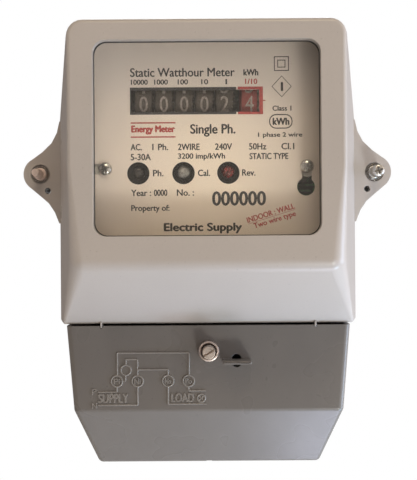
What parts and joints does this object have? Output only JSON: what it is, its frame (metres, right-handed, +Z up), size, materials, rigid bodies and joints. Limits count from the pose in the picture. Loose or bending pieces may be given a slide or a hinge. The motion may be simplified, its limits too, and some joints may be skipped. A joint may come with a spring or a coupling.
{
  "type": "electricity meter",
  "caption": "Wall mounted single phase electricity meter: drum counter behind a glass window, two sealing ears, sloping front and a separate terminal cover.",
  "frame": {"origin": "on the flat back face, on the middle line, level with the middle of the case", "axes": "+X to the right seen from the front, +Z up, front towards -Y, so the back face is the plane Y = 0"},
  "size_m": [0.1538, 0.082, 0.1858],
  "materials": {
    "case_paint": "semi-gloss pale grey",
    "base_plastic": "fine grained grey moulding",
    "lid_plastic": "semi-gloss dark grey",
    "clear_glass": "clear float glass",
    "black_plastic": "black moulding",
    "white_plastic": "natural white moulding",
    "red_plastic": "red moulding",
    "seal_rubber": "soft black seal",
    "zinc_steel": "zinc plated steel",
    "copper_steel": "copper flashed steel",
    "terminal_brass": "machined brass",
    "nickel_brass": "nickel washed brass",
    "plate_print": "cream printed aluminium sheet",
    "board_green": "green solder mask",
    "film_yellow": "yellow film capacitor case",
    "can_blue": "blue sleeved aluminium can",
    "disc_blue": "blue dipped ceramic",
    "lamp_red": "red tinted resin",
    "lamp_clear": "water clear resin"
  },
  "bodies": {
    "base": {"base_housing": "base_plastic", "hanger_plate": "zinc_steel", "ear_inserts": "terminal_brass", "cover_gasket": "seal_rubber", "terminal_block": "black_plastic", "block_screws": "zinc_steel", "screw_insert": "terminal_brass", "terminal_phase_in": "terminal_brass", "terminal_neutral_in": "terminal_brass", "terminal_neutral_out": "terminal_brass", "terminal_phase_out": "terminal_brass", "terminal_screws": "zinc_steel", "current_shunt": "terminal_brass", "neutral_link": "terminal_brass", "sense_pins": "zinc_steel", "inner_chassis": "white_plastic", "chassis_screws": "zinc_steel", "circuit_board": "board_green", "metering_chip": "black_plastic", "film_capacitor": "film_yellow", "electrolytic_capacitors": "can_blue", "surge_varistor": "disc_blue", "lamp_holder": "black_plastic", "phase_lamp": "lamp_red", "calibration_lamp": "lamp_clear", "reverse_lamp": "lamp_red", "dial_plate": "plate_print", "dial_plate_screws": "zinc_steel", "register_frame": "black_plastic", "drum_shaft": "zinc_steel", "pinion_shaft": "zinc_steel", "idler_axle": "zinc_steel", "stepper_motor": "zinc_steel"},
    "tenths_drum": {"drum_tenths": "red_plastic", "drive_gear": "white_plastic"},
    "units_drum": {"drum_units": "black_plastic"},
    "tens_drum": {"drum_tens": "black_plastic"},
    "hundreds_drum": {"drum_hundreds": "black_plastic"},
    "thousands_drum": {"drum_thousands": "black_plastic"},
    "ten_thousands_drum": {"drum_ten_thousands": "black_plastic"},
    "pinion_1": {"transfer_pinion_1": "white_plastic"},
    "pinion_2": {"transfer_pinion_2": "white_plastic"},
    "pinion_3": {"transfer_pinion_3": "white_plastic"},
    "pinion_4": {"transfer_pinion_4": "white_plastic"},
    "pinion_5": {"transfer_pinion_5": "white_plastic"},
    "idler": {"idler_gear": "white_plastic"},
    "motor_rotor": {"motor_pinion": "terminal_brass"},
    "cover": {"main_cover": "case_paint", "window_glass": "clear_glass", "window_gasket": "seal_rubber", "glass_clips": "zinc_steel", "ear_washers": "zinc_steel"},
    "left_ear_screw": {"ear_screw_left": "copper_steel"},
    "right_ear_screw": {"ear_screw_right": "zinc_steel"},
    "lid": {"terminal_cover": "lid_plastic", "terminal_cover_ferrule": "nickel_brass"},
    "lid_screw": {"terminal_cover_screw": "nickel_brass", "screw_ring": "zinc_steel"}
  },
  "joints": [
    {"name": "tenths_spin", "type": "hinge", "parent": "base", "child": "tenths_drum", "pos_m": [0.0164, -0.0527, 0.05325], "axis": [1, 0, 0], "continuous": true},
    {"name": "units_spin", "type": "hinge", "parent": "base", "child": "units_drum", "pos_m": [0.0069, -0.0527, 0.05325], "axis": [1, 0, 0], "continuous": true},
    {"name": "tens_spin", "type": "hinge", "parent": "base", "child": "tens_drum", "pos_m": [-0.0009, -0.0527, 0.05325], "axis": [1, 0, 0], "continuous": true},
    {"name": "hundreds_spin", "type": "hinge", "parent": "base", "child": "hundreds_drum", "pos_m": [-0.0087, -0.0527, 0.05325], "axis": [1, 0, 0], "continuous": true},
    {"name": "thousands_spin", "type": "hinge", "parent": "base", "child": "thousands_drum", "pos_m": [-0.0165, -0.0527, 0.05325], "axis": [1, 0, 0], "continuous": true},
    {"name": "ten_thousands_spin", "type": "hinge", "parent": "base", "child": "ten_thousands_drum", "pos_m": [-0.0243, -0.0527, 0.05325], "axis": [1, 0, 0], "continuous": true},
    {"name": "pinion_1_spin", "type": "hinge", "parent": "base", "child": "pinion_1", "pos_m": [0.01165, -0.0413, 0.05983], "axis": [1, 0, 0], "continuous": true},
    {"name": "pinion_2_spin", "type": "hinge", "parent": "base", "child": "pinion_2", "pos_m": [0.003, -0.0413, 0.05983], "axis": [1, 0, 0], "continuous": true},
    {"name": "pinion_3_spin", "type": "hinge", "parent": "base", "child": "pinion_3", "pos_m": [-0.0048, -0.0413, 0.05983], "axis": [1, 0, 0], "continuous": true},
    {"name": "pinion_4_spin", "type": "hinge", "parent": "base", "child": "pinion_4", "pos_m": [-0.0126, -0.0413, 0.05983], "axis": [1, 0, 0], "continuous": true},
    {"name": "pinion_5_spin", "type": "hinge", "parent": "base", "child": "pinion_5", "pos_m": [-0.0204, -0.0413, 0.05983], "axis": [1, 0, 0], "continuous": true},
    {"name": "idler_spin", "type": "hinge", "parent": "base", "child": "idler", "pos_m": [0.022, -0.0452, 0.04325], "axis": [1, 0, 0], "continuous": true},
    {"name": "motor_spin", "type": "hinge", "parent": "base", "child": "motor_rotor", "pos_m": [0.024, -0.0452, 0.03325], "axis": [1, 0, 0], "continuous": true},
    {"name": "cover_off", "type": "slide", "parent": "base", "child": "cover", "axis": [0, -1, 0], "range_m": [0, 0.08]},
    {"name": "lid_off", "type": "slide", "parent": "base", "child": "lid", "axis": [0, -1, 0], "range_m": [0, 0.05]},
    {"name": "left_ear_screw_turn", "type": "hinge", "parent": "cover", "child": "left_ear_screw", "pos_m": [-0.0699, -0.033, 0.028], "axis": [0, -1, 0], "continuous": true},
    {"name": "right_ear_screw_turn", "type": "hinge", "parent": "cover", "child": "right_ear_screw", "pos_m": [0.0699, -0.033, 0.028], "axis": [0, -1, 0], "continuous": true},
    {"name": "lid_screw_turn", "type": "hinge", "parent": "lid", "child": "lid_screw", "pos_m": [0.0001, -0.044, -0.045], "axis": [0, -1, 0], "continuous": true}
  ],
  "couplings": [
    {"joint": "units_spin", "follows": "tenths_spin", "ratio": 0.1},
    {"joint": "tens_spin", "follows": "tenths_spin", "ratio": 0.01},
    {"joint": "hundreds_spin", "follows": "tenths_spin", "ratio": 0.001},
    {"joint": "thousands_spin", "follows": "tenths_spin", "ratio": 0.0001},
    {"joint": "ten_thousands_spin", "follows": "tenths_spin", "ratio": 0.00001},
    {"joint": "pinion_1_spin", "follows": "tenths_spin", "ratio": -0.25},
    {"joint": "pinion_2_spin", "follows": "tenths_spin", "ratio": -0.025},
    {"joint": "pinion_3_spin", "follows": "tenths_spin", "ratio": -0.0025},
    {"joint": "pinion_4_spin", "follows": "tenths_spin", "ratio": -0.00025},
    {"joint": "pinion_5_spin", "follows": "tenths_spin", "ratio": -0.000025},
    {"joint": "idler_spin", "follows": "tenths_spin", "ratio": -4},
    {"joint": "motor_spin", "follows": "tenths_spin", "ratio": 16}
  ]
}
